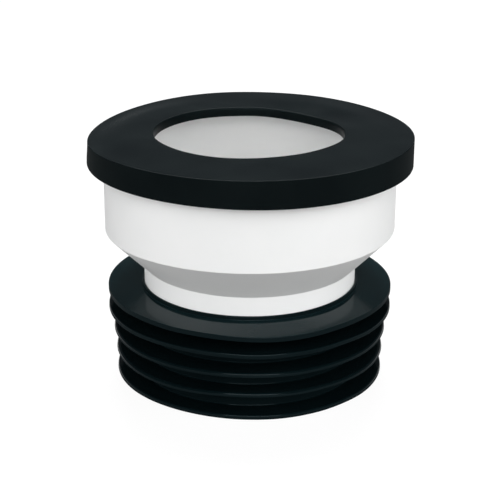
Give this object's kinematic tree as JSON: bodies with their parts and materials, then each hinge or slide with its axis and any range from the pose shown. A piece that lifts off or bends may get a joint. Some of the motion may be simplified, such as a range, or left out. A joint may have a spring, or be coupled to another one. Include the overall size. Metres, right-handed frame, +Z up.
{
  "type": "toilet pan connector",
  "caption": "Straight toilet pan connector: a white moulded socket narrows to a spigot, with a black rubber ring and lip round the inlet and a finned black rubber sleeve on the outlet.",
  "frame": {"origin": "on the axis, at the foot of the finned outlet sleeve, which the part stands on", "axes": "+Z up along the axis, from the outlet to the inlet; the part is round, so +X and +Y are free"},
  "size_m": [0.1354, 0.1354, 0.104],
  "materials": {
    "white_plastic": "smooth moulded polypropylene with a soft gloss",
    "black_rubber": "moulded rubber, satin, with a faint sheen"
  },
  "bodies": {
    "root": {"body": "white_plastic", "inlet_seal": "black_rubber", "outlet_seal": "black_rubber"}
  },
  "joints": []
}
